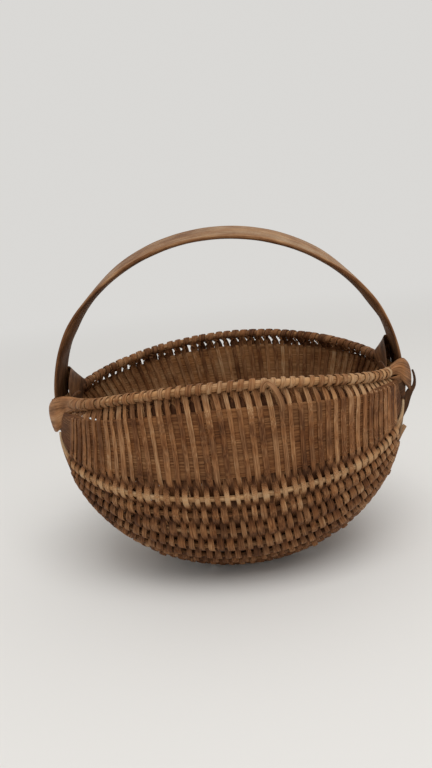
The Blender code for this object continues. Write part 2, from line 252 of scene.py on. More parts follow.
def oak(name, colours, streak_width, roughness):
    """Split oak with the grain along the piece.

    The strip's own tone, plus long streaks, fine fibre and broad blotches, runs through four colours
    from shadow to highlight. Its wear mark lightens it, both for wear and for painted highlights;
    "shaded" darkens it with painted shade, and paints light on it where it is below 0; and "pale"
    fades it to bare new wood. Long patches of it are warmer. Fibre and streaks also lift the surface.
    """
    finish = bpy.data.materials.new(name)
    finish.use_nodes = True
    tree = finish.node_tree

    def maths(operation, *values):
        return add_node(tree, "Math", dict(enumerate(values)), operation).outputs[0]

    def mark(mark_name):
        node = add_node(tree, "Attribute")
        node.attribute_name = mark_name
        return node.outputs["Fac"]

    def noise(place, scale, detail, rough):
        inputs = {"Vector": place, "Scale": scale, "Detail": detail, "Roughness": rough}
        return add_node(tree, "TexNoise", inputs).outputs["Fac"]

    grain = add_node(tree, "UVMap")
    grain.uv_map = "grain"
    split = add_node(tree, "SeparateXYZ", {0: grain.outputs["UV"]})
    tone = mark("tone")

    def stretched(length, width):
        scaled = [maths("MULTIPLY", split.outputs[0], 1 / length),
                  maths("MULTIPLY", split.outputs[1], 1 / width), maths("MULTIPLY", tone, 37.0)]
        return add_node(tree, "CombineXYZ", dict(enumerate(scaled))).outputs[0]

    def mixed(blend_type, factor, a, b):
        node = add_node(tree, "Mix")
        node.data_type = "RGBA"
        node.blend_type = blend_type
        wire(tree, node, {"Factor": factor, "A": a, "B": b})
        return node.outputs["Result"]

    streaks = noise(stretched(STREAK_LENGTH, streak_width), 1.0, 3.0, 0.55)
    fibre = noise(stretched(FIBRE_LENGTH, streak_width / 4), 1.0, 2.0, 0.6)
    patches = noise(stretched(PATCH_LENGTH, PATCH_WIDTH), 1.0, 1.0, 0.5)
    blotches = noise(add_node(tree, "TexCoord").outputs["Object"], BLOTCHES_A_METRE, 3.0, 0.6)
    level = tone
    for pattern, amount in ((streaks, 1.1), (fibre, 0.45), (blotches, 0.75)):
        level = maths("MULTIPLY_ADD", maths("SUBTRACT", pattern, 0.5), amount, level)
    # Wear and painted highlights lighten the level, and painted shade darkens it
    for mark_name, amount in (("worn", 0.40), ("shaded", -0.45)):
        level = maths("MULTIPLY_ADD", mark(mark_name), amount, level)
    ramp = add_node(tree, "ValToRGB", {0: level})
    stops = ramp.color_ramp.elements
    stops.remove(stops[1])
    for index, (place, colour) in enumerate(zip(COLOUR_STOPS, colours)):
        stop = stops[0] if index == 0 else stops.new(place)
        stop.position = place
        stop.color = (*colour, 1)
    warmed = mixed("MULTIPLY", maths("MULTIPLY_ADD", patches, 3.2, -1.1), ramp.outputs[0], WARM_TINT)
    height = maths("ADD", maths("MULTIPLY", streaks, 1.4), fibre)
    lift = add_node(tree, "Bump", {"Distance": GRAIN_LIFT, "Height": height})
    wire(tree, tree.nodes["Principled BSDF"], {
        "Base Color": mixed("MIX", mark("pale"), warmed, NEW_WOOD),
        "Roughness": maths("MULTIPLY_ADD", level, -0.18, roughness + 0.09),
        "Specular IOR Level": OAK_SHEEN, "Normal": lift.outputs[0]})
    return finish


def hoop_line(turn):
    """The hoop's middle, its width's direction and its half width, for a turn from the right ear.

    x is half the span times the cosine. Above the ears the height is a power of the sine, and the
    band leans forward by a ramp that is eased by a hypotenuse. Below, it is the keel's curve. The
    width lies level on the legs, and tips with the lean over the top by a smooth step of the height.
    """
    above = HANDLE_HEIGHT * np.abs(np.sin(turn)) ** HANDLE_POWER
    below = -KEEL_RADIUS * np.abs(np.sin(turn)) ** END_POWER
    height = np.where(turn <= math.pi, above, below)
    rise = height - LEAN_FROM
    eased = np.hypot(rise, LEAN_EASE)
    forward = math.tan(HANDLE_LEAN) * (rise + eased) / 2
    tipped = smooth_step((height - TILT_FROM) / (TILT_FULL - TILT_FROM))
    lean = np.arctan(math.tan(HANDLE_LEAN) * (1 + rise / eased) / 2) * tipped
    narrowing = (HOOP_WIDTH - HANDLE_TOP_WIDTH) * np.maximum(height, 0) / HANDLE_HEIGHT
    middle = np.stack([HALF_SPAN * np.cos(turn), -forward, height], axis=-1) + EAR_CENTRE
    width_way = np.stack([0 * lean, np.cos(lean), np.sin(lean)], axis=-1)
    return middle, width_way, (HOOP_WIDTH - narrowing) / 2


# Turns are packed towards the ears, where the curve is steep, then evened out by running length
packed = np.sin(np.linspace(0, math.pi / 2, 1501)[:-1]) ** 2
hoop_rows = np.column_stack(hoop_line(math.pi * np.concatenate([packed, 1 + packed])))
hoop_rows = evenly(hoop_rows, HOOP_STATIONS)
hoop_middle, hoop_width_way, hoop_half = hoop_rows[:, :3], unit(hoop_rows[:, 3:6]), hoop_rows[:, 6]
hoop_out = np.cross(hoop_width_way, heading(hoop_middle, loop=True))
hoop_run = np.arange(HOOP_STATIONS) / HOOP_STATIONS
narrowed = hoop_half * (1 - SHAVED_NARROWER * (1 + wobble(hoop_run, 3, 1 / 5)))
thinned = HOOP_THICKNESS / 2 * (1 - SHAVED_THINNER * (1 + wobble(hoop_run, 4, 1 / 9)))
hoop_section = slab(narrowed, thinned, HOOP_EDGE_POINTS, HOOP_FACE_POINTS)
sideways = np.abs(hoop_section[..., 0]) / hoop_half[:, None]
outer_face = np.clip(hoop_section[..., 1] / HOOP_THICKNESS + 0.5, 0, 1)
dark_edges = np.clip(1 - (1 - sideways) / DARK_EDGE_SHARE, 0, 1)
# The handle is left thicker in the middle of its width: a belly inside and a slight crown outside
swelling = smooth_step((hoop_middle[:, 2:] - EAR_CENTRE[2] - BELLY_FROM) / (BELLY_FULL - BELLY_FROM))
swelling = swelling * (1 - sideways**2)
hoop_section[..., 1] += swelling * np.where(hoop_section[..., 1] > 0, HANDLE_CROWN, -HANDLE_BELLY)
hoop_oak = oak("hoop_oak", streak_width=0.0016, roughness=0.55, colours=(
    (0.070, 0.030, 0.012), (0.165, 0.077, 0.034), (0.280, 0.165, 0.086), (0.430, 0.300, 0.180)))
# The outer face is paler from handling wear and a painted highlight, more at the right, and the inner face
# gets painted shade
handled_and_lit = HANDLED_AND_LIT + HANDLED_AND_LIT_MORE_AT_RIGHT * hoop_middle[:, :1] / HALF_SPAN
hoop_skin = skin(carried(hoop_middle, hoop_out, hoop_section, loop=True), loop=True, tone=0.34,
                 worn=handled_and_lit * outer_face - 0.3 * dark_edges, shaded=0.12 * (1 - outer_face))
hoop = piece("hoop", [hoop_skin], hoop_oak)
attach(hoop, "root")
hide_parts("handle_hoop")


# The rim: a whittled oak rod, bent to a closed ring and pushed inside the hoop at the ears. It rises
# front and back, and is pointed at the front where it meets the ears.
RIM_RADIUS = 0.0030
RIM_RAISE = 0.0200
RIM_TO_HOOP = 0.0003
RIM_HALF_SPAN = HALF_SPAN - HOOP_THICKNESS / 2 - RIM_TO_HOOP - RIM_RADIUS
FRONT_DEPTH = 0.1065
BACK_DEPTH = 0.1360
FRONT_RIM_POWER = 1.25
POINTED_TO_SHARE = 0.40
RIM_STATIONS = 640
RIM_SIDES = 18
UPWARDS = np.array([0.0, 0.0, 1.0])


def end_power(across):
    """The power that shapes the bowl's ends: blunt all round, but pointed near the front rim."""
    near_rim = np.clip(1 - (1 - np.abs(across)) / POINTED_TO_SHARE, 0, 1) * (across < 0)
    return END_POWER + (FRONT_RIM_POWER - END_POWER) * near_rim


def rim_line(face, theta):
    """The rod's middle: x by the cosine, y by the depth times a power of the sine, z by its square."""
    depth = FRONT_DEPTH if face < 0 else BACK_DEPTH
    opened = np.abs(np.sin(theta)) ** end_power(np.full_like(theta, face))
    place = np.stack([-RIM_HALF_SPAN * np.cos(theta), face * depth * opened, RIM_RAISE * opened**2], axis=-1)
    return place + EAR_CENTRE


def round_section(radius, angles):
    """A rod's section: across and out are the radius times the cosine and the sine."""
    return np.stack([radius * np.cos(angles), radius * np.sin(angles)], axis=-1)


half_turn = np.linspace(0, math.pi, 1501)[:-1]
rim_places = np.concatenate([rim_line(-1, half_turn), rim_line(1, math.pi - half_turn)])
rim_places = evenly(rim_places, RIM_STATIONS)
rim_run = np.arange(RIM_STATIONS)[:, None] / RIM_STATIONS
around = np.linspace(0, 2 * math.pi, RIM_SIDES, endpoint=False)
facets = np.cos(3 * around + 4 * wobble(rim_run, 7, 0.5)) * wobble(rim_run, 8, 0.2)
rim_section = round_section(RIM_RADIUS * (0.96 + 0.03 * facets), around)
rim_oak = oak("rim_oak", streak_width=0.0009, roughness=0.60, colours=(
    (0.110, 0.048, 0.018), (0.240, 0.122, 0.054), (0.410, 0.245, 0.125), (0.560, 0.390, 0.235)))
# The rod has painted shade behind, and a painted highlight along its top
rim_tone_shaded_behind = 0.26 + 0.24 * np.clip(0.5 - rim_places[:, 1] / BACK_DEPTH, 0, 1)
rim_worn = 0.3 * np.maximum(np.sin(around), 0)[None, :]
rim_rings = carried(rim_places, UPWARDS, rim_section, loop=True)
rim = piece("rim", [skin(rim_rings, loop=True, tone=rim_tone_shaded_behind, worn=rim_worn)], rim_oak)
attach(rim, "root")
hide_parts("rim_hoop")


# The lashings: at each ear a wide, thin, smooth oak splint goes twice round the crossing of hoop and
# rim, folded in each corner between them. Its last fold bulges round the hoop's front edge, and its end
# is rolled round the rim at the left and stands off as a loose strip at the right.
LASH_THICKNESS = 0.0008
LASH_ROOM = 0.0001
LASH_LIFT = 0.0010
LASH_BULGE = 0.0008
LASH_GATHERED = 0.42
LASH_SPREAD = 0.50
TURN_STATIONS = 144
TURN_ACROSS = 15
TAUT_ROUNDS = 1400
UPPER_BACK = (0.0236, 0.0450)
LOWER_FRONT = (-0.0225, -0.0290)
UPPER_FRONT = (0.0045, -0.0270)
LOWER_BACK = (-0.0210, 0.0310)
FOLD_PAST_HOOP = 0.0011
FOLD_PAST_ROD = 0.0008
# The depth from which a lashing turn gets a painted shadow under the front fold
PAINTED_SHADOW_FROM = -0.018
ROLL_WIDTH = 0.0150
ROLL_FROM_EAR = 0.0500
ROLL_ALONG = 0.0090
ROLL_LOOSENS = 0.0009
ROLL_STATIONS = 90
FOLD_STATIONS = 60
FOLD_ACROSS = 13
STEP = 1e-4
# Rows of the front fold in millimetres from the ear: reach, depth, height at its top, middle and bottom
LEFT_FOLD = (
    (109.2, -53.5, 9.8, 108.1, -60.5, 6.9, 109.9, -56.5, 0.7),
    (114.8, -47.0, 9.1, 113.8, -53.5, 5.5, 115.6, -50.0, -1.0),
    (120.7, -39.0, 8.4, 120.5, -45.0, 3.6, 122.2, -41.0, -4.2),
    (127.9, -30.0, 7.7, 128.3, -34.5, 0.5, 130.4, -31.5, -10.6),
    (134.4, -24.5, 7.0, 135.5, -28.5, -1.6, 137.9, -26.0, -18.2),
    (139.9, -21.5, 5.7, 142.4, -24.0, -3.8, 143.8, -22.5, -23.0),
    (145.1, -15.0, 2.7, 149.4, -15.5, -5.8, 148.1, -15.0, -22.1),
    (146.0, -5.0, 2.7, 149.0, -5.0, -6.5, 147.0, -5.0, -20.0),
    (144.6, 7.0, 2.7, 145.4, 7.0, -6.5, 144.6, 7.0, -18.0),
)
RIGHT_FOLD = (
    (131.6, -22.0, 5.9, 130.9, -29.0, 3.1, 131.1, -26.5, -2.3),
    (135.5, -21.0, 8.3, 134.8, -27.5, 4.4, 134.9, -25.0, -2.2),
    (139.2, -20.8, 10.4, 138.9, -26.2, 4.1, 138.5, -24.0, -5.7),
    (142.9, -20.0, 10.3, 143.2, -24.0, 1.2, 142.9, -22.5, -11.4),
    (146.8, -14.0, 6.3, 149.0, -15.0, -3.7, 148.0, -15.0, -17.7),
    (146.8, -5.0, 5.0, 148.6, -5.0, -3.7, 147.0, -5.0, -15.0),
    (144.6, 7.0, 4.0, 145.2, 7.0, -3.7, 144.6, 7.0, -13.0),
)
LOOSE_STRIP = (
    (149.2, -17.0, 2.5), (150.1, -16.5, -0.6), (151.3, -15.8, -4.6), (151.9, -15.0, -9.8),
    (150.8, -15.0, -14.7), (147.4, -16.0, -18.3), (144.7, -17.0, -22.8), (143.0, -18.0, -28.3),
    (141.3, -19.0, -32.9), (139.3, -20.0, -37.5), (137.2, -21.0, -42.1),
)
LOOSE_HALF_WIDTHS = (0.6, 0.8, 1.0, 1.2, 1.7, 3.0, 3.5, 3.1, 2.4, 1.4, 0.6)
LOOSE_FACING = np.array([0.3, -0.95, 0.0])
# Rows of the small gusset behind the fold over the back corner, set out as the front fold's rows are
GUSSET = (
    (138.9, 21.2, 22.5, 139.9, 21.2, 9.0, 140.6, 21.2, -6.0),
    (136.4, 27.0, 18.0, 136.8, 27.0, 8.0, 137.0, 27.0, -4.0),
    (133.4, 33.0, 13.3, 133.4, 33.0, 9.0, 133.4, 33.0, 4.8),
)


def reach_at(value, span, above, below):
    """How far out a closed line is: span cos(turn), at the turn where depth sin(turn)^power is the value.

    above and below give the depth and the power where the value is over 0 and where it is under 0.
    """
    over = (np.maximum(value, 0) / above[0]) ** (2 / above[1])
    under = (np.maximum(-value, 0) / below[0]) ** (2 / below[1])
    return span * np.sqrt(1 - over - under)


def hoop_reach(height):
    """How far out the hoop's middle is at this height."""
    return reach_at(height, HALF_SPAN, (HANDLE_HEIGHT, HANDLE_POWER), (KEEL_RADIUS, END_POWER))


def rim_reach(depth):
    """How far out the rim's middle is at this depth."""
    return reach_at(depth, RIM_HALF_SPAN, (BACK_DEPTH, END_POWER), (FRONT_DEPTH, FRONT_RIM_POWER))


def rim_level(depth):
    """The height of the rim's middle at this depth, which grows by the square."""
    return RIM_RAISE * (depth / np.where(depth < 0, FRONT_DEPTH, BACK_DEPTH)) ** 2


def fold_ends(corner):
    """The fold across one corner: its end at the hoop's edge and its end past the rim rod."""
    height, depth = corner
    hoop_end = [hoop_reach(height), math.copysign(HOOP_WIDTH / 2 + FOLD_PAST_HOOP, depth), height]
    past_rod = math.copysign(RIM_RADIUS + FOLD_PAST_ROD, height)
    rim_end = [rim_reach(depth), depth, rim_level(depth) + past_rod]
    return np.array(hoop_end), np.array(rim_end)


def catmull(keys, count):
    """A smooth line through the keys: on each span the cubic whose ends keep the neighbours' slope."""
    place = np.linspace(1, len(keys) - 2, count)
    low = np.minimum(place.astype(int), len(keys) - 3)
    t = (place - low)[:, None]
    a, b, c, d = (keys[low + k] for k in (-1, 0, 1, 2))
    return 0.5 * (2 * b + (c - a) * t + (2 * a - 5 * b + 4 * c - d) * t**2 + (3 * b - a - 3 * c + d) * t**3)


def through(rows, count):
    """A smooth line through all rows, given in millimetres, which goes straight on past both ends."""
    keys = np.array(rows) / 1000
    return catmull(np.concatenate([2 * keys[:1] - keys[1:2], keys, 2 * keys[-1:] - keys[-2:-1]]), count)


def thin_sheet(sheet, loop=False):
    """Rings round a sheet of points: one face and back along the other, thinner at the two edges."""
    normal = unit(np.cross(heading(sheet, loop), np.gradient(sheet, axis=1)))
    share = np.linspace(0, 1, sheet.shape[1])[:, None]
    edge = np.sqrt(np.clip(1 - np.abs(2 * share - 1) ** 8, 0.1, 1))
    half = LASH_THICKNESS / 2 * edge * normal
    return np.concatenate([sheet + half, (sheet - half)[:, ::-1]], axis=1)


def folded(side, rows):
    """A fold of the lashing: a smooth line through its rows, over each of which a parabola is drawn."""
    lines = through(rows, FOLD_STATIONS).reshape(FOLD_STATIONS, 3, 1, 3)
    v = np.linspace(0, 1, FOLD_ACROSS)[None, :, None]
    top, middle, bottom = (1 - v) * (1 - 2 * v), 4 * v * (1 - v), v * (2 * v - 1)
    sheet = lines[:, 0] * top + lines[:, 1] * middle + lines[:, 2] * bottom
    return thin_sheet(sheet * [side, 1, 1] + EAR_CENTRE)


def lash_turn(side, lower, upper, lift):
    """One turn of the lashing, as rings, and which of them lie outside: from fold to fold and back.

    Depth and height go straight from one fold to the other, s = (1 + sin phi) / 2, gathered in the
    middle. The reach is what a taut splint takes: again and again each point becomes the mean of its
    neighbours, mostly of those along it, and is pushed off the hoop and the rod that it lies on.
    """
    phi = np.linspace(-math.pi / 2, 1.5 * math.pi, TURN_STATIONS, endpoint=False)[:, None]
    share = np.linspace(0, 1, TURN_ACROSS)[None, :]
    narrowed = np.where(np.cos(phi) > 0, LASH_GATHERED, -LASH_SPREAD)
    gathered = 0.5 + (share - 0.5) * (1 - narrowed * np.cos(phi) ** 2)
    (low_hoop, low_rim), (high_hoop, high_rim) = fold_ends(lower), fold_ends(upper)
    way = ((1 + np.sin(phi)) / 2)[..., None]
    first = low_rim + (low_hoop - low_rim) * gathered[..., None]
    last = high_hoop + (high_rim - high_hoop) * gathered[..., None]
    reach, depth, height = np.moveaxis(first * (1 - way) + last * way, -1, 0)
    room = LASH_THICKNESS / 2 + LASH_ROOM + lift
    over_hoop = np.abs(depth) < HOOP_WIDTH / 2 + 2 * LASH_ROOM
    rod = np.sqrt(np.maximum((RIM_RADIUS + room) ** 2 - (height - rim_level(depth)) ** 2, 0))
    outer = np.cos(phi) > 0
    away = np.where(outer, 1, -1)
    off_hoop = np.where(over_hoop, away * hoop_reach(height) + HOOP_THICKNESS / 2 + room, -1)
    off_both = np.maximum(off_hoop, np.where(rod > 0, away * rim_reach(depth) + rod, -1))
    folds = [0, TURN_STATIONS // 2]
    held = reach[folds]
    for _ in range(TAUT_ROUNDS):
        sides = np.pad(reach, ((0, 0), (1, 1)), mode="edge")
        across = (sides[:, 2:] + sides[:, :-2]) / 2
        along = (np.roll(reach, 1, axis=0) + np.roll(reach, -1, axis=0)) / 2
        reach = away * np.maximum(away * (0.85 * along + 0.15 * across), off_both)
        reach[folds] = held
    bulge = LASH_BULGE * np.maximum(np.cos(phi), 0) ** 1.5 * np.sin(math.pi * share) ** 0.7
    sheet = np.stack([side * (reach + bulge), depth, height], axis=-1) + EAR_CENTRE
    return thin_sheet(sheet, loop=True), outer.astype(float)


def round_rod(face, theta, angles):
    """The rim rod's middle, and a spoke square to it at each angle: 0 is outward and 90 degrees up."""
    middle = rim_line(face, theta)
    rod_way = unit(rim_line(face, theta + STEP) - rim_line(face, theta - STEP))
    up = unit(UPWARDS - rod_way * rod_way[:, 2:])
    out = np.cross(rod_way, up) * -face
    return middle, out * np.cos(angles)[:, None] + up * np.sin(angles)[:, None]


def rolled_end():
    """The left lashing's end, rolled once and a bit round the rim rod in front of the ear."""
    way = np.linspace(0, 1, ROLL_STATIONS)
    theta = np.arcsin(((ROLL_FROM_EAR + ROLL_ALONG * way) / FRONT_DEPTH) ** (1 / FRONT_RIM_POWER))
    middle, spoke = round_rod(-1, theta, np.radians(np.linspace(-150, 330, ROLL_STATIONS)))
    radius = RIM_RADIUS + LASH_THICKNESS / 2 + LASH_ROOM + ROLL_LOOSENS * way
    section = slab(ROLL_WIDTH / 2 * (0.75 + 0.25 * np.sin(math.pi * way)), LASH_THICKNESS / 2, 4, 3)
    return carried(middle + spoke * radius[:, None], spoke, section)


def loose_strip():
    """The right lashing's end, a narrow strip that stands off the ear and widens halfway down."""
    strip = catmull(np.array(LOOSE_STRIP) / 1000, ROLL_STATIONS) + EAR_CENTRE
    rows = np.linspace(1, len(LOOSE_STRIP) - 2, ROLL_STATIONS)
    half_widths = np.interp(rows, np.arange(len(LOOSE_STRIP)), LOOSE_HALF_WIDTHS) / 1000
    return carried(strip, LOOSE_FACING, slab(half_widths, LASH_THICKNESS / 2))


lashing_oak = oak("lashing_oak", streak_width=0.0022, roughness=0.50, colours=(
    (0.050, 0.022, 0.009), (0.150, 0.068, 0.028), (0.310, 0.155, 0.070), (0.460, 0.270, 0.140)))
for side, ear, rows, top_tone, bottom_tone, fold_worn in (
        (-1, "left", LEFT_FOLD, 0.46, 0.40, 0.30), (1, "right", RIGHT_FOLD, 0.52, 0.26, 0.15)):
    skins = []
    for lower, upper, lift in ((LOWER_FRONT, UPPER_BACK, 0.0), (LOWER_BACK, UPPER_FRONT, LASH_LIFT)):
        rings, outer = lash_turn(side, lower, upper, lift)
        # Paler outside from wear and a painted highlight; painted shade on the inner sheet, and a painted
        # shadow low under the front fold
        depth, height = np.moveaxis((rings - EAR_CENTRE)[..., 1:], -1, 0)
        painted_shadow = np.clip((PAINTED_SHADOW_FROM - depth) / 0.004, 0, 1) * np.clip(-height / 0.008, 0, 1)
        skins.append(skin(rings, loop=True, tone=0.42, worn=0.45 * outer - 0.1,
                          shaded=0.20 * (1 - outer) + 1.1 * painted_shadow))
    down = np.concatenate([np.linspace(0, 1, FOLD_ACROSS), np.linspace(1, 0, FOLD_ACROSS)])
    fold_tone = (top_tone + (bottom_tone - top_tone) * down)[None, :]
    # The fold is lightened by wear and a painted highlight
    skins.append(skin(folded(side, rows), tone=fold_tone, worn=fold_worn))
    skins.append(skin(folded(side, GUSSET), tone=0.40, shaded=0.2))
    # The loose strip at the right gets a near-black tone as painted shade
    skins.append(skin(rolled_end(), tone=0.50) if side < 0 else skin(loose_strip(), tone=0.05))
    lashing = piece(f"lashing_{ear}", skins, lashing_oak)
    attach(lashing, "root")
    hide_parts(f"ear_lashing_{ear}")


# The ribs: on each side one wide board of split oak under the rim, and eight rods whittled round and
# thinner towards the ears, where their tips fan out beside the hoop behind the lashing.
BOWL_DEPTH = 0.1560
KEEL_LIFT = BOWL_DEPTH - KEEL_RADIUS
FRONT_LIFT_SPREAD = math.radians(10)
BACK_LIFT_SPREAD = math.radians(16.5)
OUTLINE_POWER = 2.4
LOWER_FRONT_POWER = 2.0
FLATTENED_FROM = math.radians(50)
FLATTENED_OVER = math.radians(22)
KEEL_EDGE_SHARE = 1 - math.atan(HOOP_WIDTH / 2 / KEEL_RADIUS) / (math.pi / 2)
RIB_ROOM = 0.0006
RIB_RADIUS = 0.0020
RIB_TIP_RADIUS = 0.0009
TAPER_ENDS_SHARE = 0.35
TIP_SIDE = HOOP_WIDTH / 2 + RIB_TIP_RADIUS + RIB_ROOM
TIP_FAN = 0.0300
TIP_SPREAD = 0.0470
TIPS_BESIDE_HOOP_SHARE = 0.40
TIP_LEVEL_SHARE = 0.41
TIP_START_SHARE = 0.006
WALL_START_AT_RIM = 0.0260
WALL_START_AT_KEEL = 0.0500
WALL_START_BULGE = 0.0190
RIBS_A_SIDE = 8
RIB_STATIONS = 110
RIB_SIDES = 12
PALE_TIP = 0.22
FIRST_RIB_SHARE = 0.4135
LAST_RIB_SHARE = 0.8690
BOARD_TOP_SHARE = 0.065
BACK_BOARD_TOP_SHARE = 0.033
BOARD_END_RISE = 0.032
BOARD_RISES_FROM = 0.70
BOARD_RISES_OVER = 0.15
BOARD_BOTTOM_SHARE = 0.337
BOARD_THICKNESS = 0.0015
BOARD_START = 0.0230
BOARD_STATIONS = 190
BOARD_LINES = 120
BOARD_RIDGES = 34
OUTER_RIDGE = 0.00014
INNER_RIDGE = 0.00010
FLOOR_CLEARANCE = 0.0033
LOWEST_MIDDLE = 0.0008
RIB_SHARES = np.linspace(FIRST_RIB_SHARE, LAST_RIB_SHARE, RIBS_A_SIDE)


def opened_at(across, opening):
    """The theta at which the bowl has opened this far: the arcsine of a root of the opening."""
    return np.arcsin(opening ** (1 / end_power(across)))


def down_hoop(share):
    """The way down from the rim, 0, to the keel's edge, 1."""
    return np.minimum(share / KEEL_EDGE_SHARE, 1)


def beside_hoop(share):
    """0 under the rim and 1 for the round ribs, whose tips lie beside the hoop."""
    return np.clip(down_hoop(share) / TIPS_BESIDE_HOOP_SHARE, 0, 1)


def tips_begin(share):
    """How far the bowl has opened where a rib's tip lies: more towards the keel."""
    level = TIP_LEVEL_SHARE + (1 - TIP_LEVEL_SHARE) * down_hoop(share)
    return TIP_SPREAD / KEEL_RADIUS * level * beside_hoop(share)


def past_tip(across, theta):
    """The way from a rib's tip, 0, to its middle, 1."""
    begins = tips_begin(1 - np.abs(across))
    return (np.sin(theta) ** end_power(across) - begins) / (1 - begins)


def bowl_surface(across, theta):
    """The surface through the ribs' middles, from the middle of the ear axis.

    In the middle section it is a superellipse, of a lower power under the front lobe, less a
    bell-shaped lift at the keel. Towards an ear every point closes in, in step with a power of the
    sine, on an arc of tips beside the hoop.
    """
    across, theta = np.broadcast_arrays(across, theta)
    share = 1 - np.abs(across)
    side = np.where(across < 0, -1, 1)
    depth = np.where(across < 0, FRONT_DEPTH, BACK_DEPTH)
    spread = np.where(across < 0, FRONT_LIFT_SPREAD, BACK_LIFT_SPREAD)
    opened = np.sin(theta) ** end_power(across)
    start = -np.arctan(RIM_RAISE * opened / depth) + (RIM_RADIUS + RIB_ROOM) / (depth * opened)
    angle = start + share * (math.pi / 2 - start)
    flatter = smooth_step((angle - FLATTENED_FROM) / FLATTENED_OVER) * (across < 0)
    power = OUTLINE_POWER + (LOWER_FRONT_POWER - OUTLINE_POWER) * flatter
    flat = (np.abs(np.cos(angle)) / depth) ** power
    down = (np.abs(np.sin(angle)) / BOWL_DEPTH) ** power
    hump = np.exp(-(((angle - math.pi / 2) / spread) ** 2))
    radius = (flat + down) ** (-1 / power) - KEEL_LIFT * hump
    fan = TIP_SIDE + (TIP_FAN - TIP_SIDE) * np.sqrt(1 - down_hoop(share) ** 2)
    under_keel = np.clip((1 - share) / (1 - KEEL_EDGE_SHARE), 0, 1)
    way = past_tip(across, theta)
    y = fan * beside_hoop(share) * under_keel * (1 - way) + radius * np.cos(angle) * way
    z = -TIP_SPREAD * down_hoop(share) * (1 - way) - radius * np.sin(angle) * way
    return np.stack([-HALF_SPAN * np.cos(theta), side * y, z], axis=-1)


def bowl_normal(across, theta):
    """Out of the bowl: the cross product of the steps round it and along it."""
    along = bowl_surface(across, theta + STEP) - bowl_surface(across, theta - STEP)
    round_it = bowl_surface(across + STEP, theta) - bowl_surface(across - STEP, theta)
    return unit(np.cross(round_it, along))


def on_bowl(across, theta, proud):
    """A place this far out of the bowl's surface, held up off the floor."""
    place = bowl_surface(across, theta) + bowl_normal(across, theta) * np.asarray(proud)[..., None]
    place = place + EAR_CENTRE
    place[..., 2] = np.maximum(place[..., 2], np.maximum(FLOOR_CLEARANCE - proud, LOWEST_MIDDLE))
    return place


def wall_first(across):
    """The theta at which the weaving starts: soonest under the rim and latest halfway to the keel."""
    share = 1 - np.abs(across)
    at_rim, at_keel = WALL_START_AT_RIM / FRONT_DEPTH, WALL_START_AT_KEEL / KEEL_RADIUS
    later = WALL_START_BULGE / KEEL_RADIUS * np.sin(math.pi * down_hoop(share))
    return opened_at(across, at_rim + (at_keel - at_rim) * beside_hoop(share) + later)


def rib_radius(across, theta):
    """Thin at the tip, growing to full girth over the taper."""
    grown = np.clip(past_tip(across, theta) / TAPER_ENDS_SHARE, 0, 1)
    return RIB_TIP_RADIUS + (RIB_RADIUS - RIB_TIP_RADIUS) * grown


